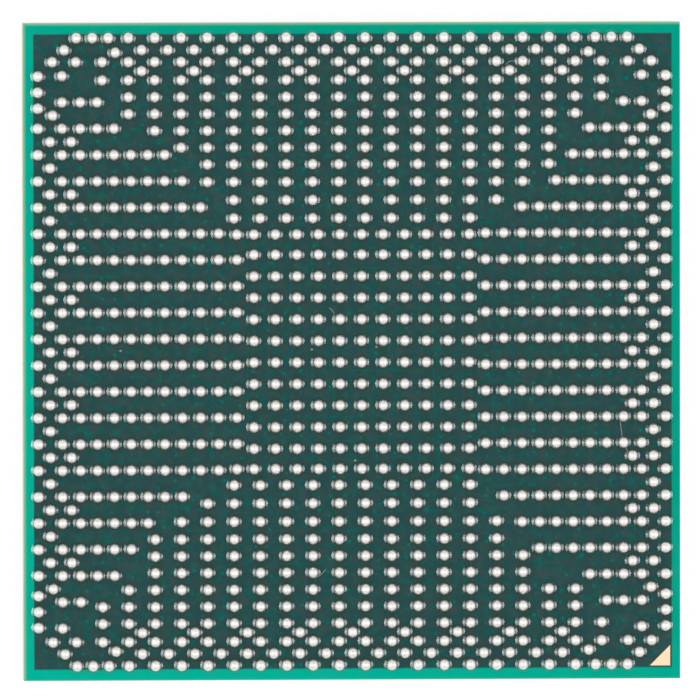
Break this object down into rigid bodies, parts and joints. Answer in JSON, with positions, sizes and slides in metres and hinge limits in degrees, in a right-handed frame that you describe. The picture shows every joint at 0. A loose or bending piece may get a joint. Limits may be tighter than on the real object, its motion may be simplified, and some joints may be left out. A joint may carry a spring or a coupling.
{
  "type": "ball grid array chip",
  "caption": "Square flip-chip package with an irregular grid of solder balls on one face and a bare die on the other.",
  "frame": {"origin": "middle of the die's back, which the package rests on", "axes": "+Z out of the ball side, +X and +Y along the sides, with the corner mark for ball A1 at +X, -Y"},
  "size_m": [0.025, 0.025, 0.0023],
  "materials": {
    "laminate": "sawn glass-cloth laminate, cream and matt",
    "copper": "bare copper foil",
    "ball_side_mask": "glossy solder mask: dark green over copper, bright teal in the bare margin",
    "gold_plating": "pale gold plating",
    "solder": "bright reflowed solder",
    "die_side_mask": "glossy green solder mask",
    "underfill": "cured dark epoxy, smooth",
    "silicon": "ground bare silicon"
  },
  "bodies": {
    "root": {"laminate": "laminate", "copper_plane": "copper", "ball_lands": "copper", "ball_side_mask": "ball_side_mask", "corner_mark": "gold_plating", "centre_balls": "solder", "left_balls": "solder", "right_balls": "solder", "back_balls": "solder", "front_balls": "solder", "edge_balls": "solder", "staggered_balls": "solder", "corner_balls": "solder", "die_side_mask": "die_side_mask", "die_bumps": "solder", "underfill": "underfill", "die": "silicon"}
  },
  "joints": []
}
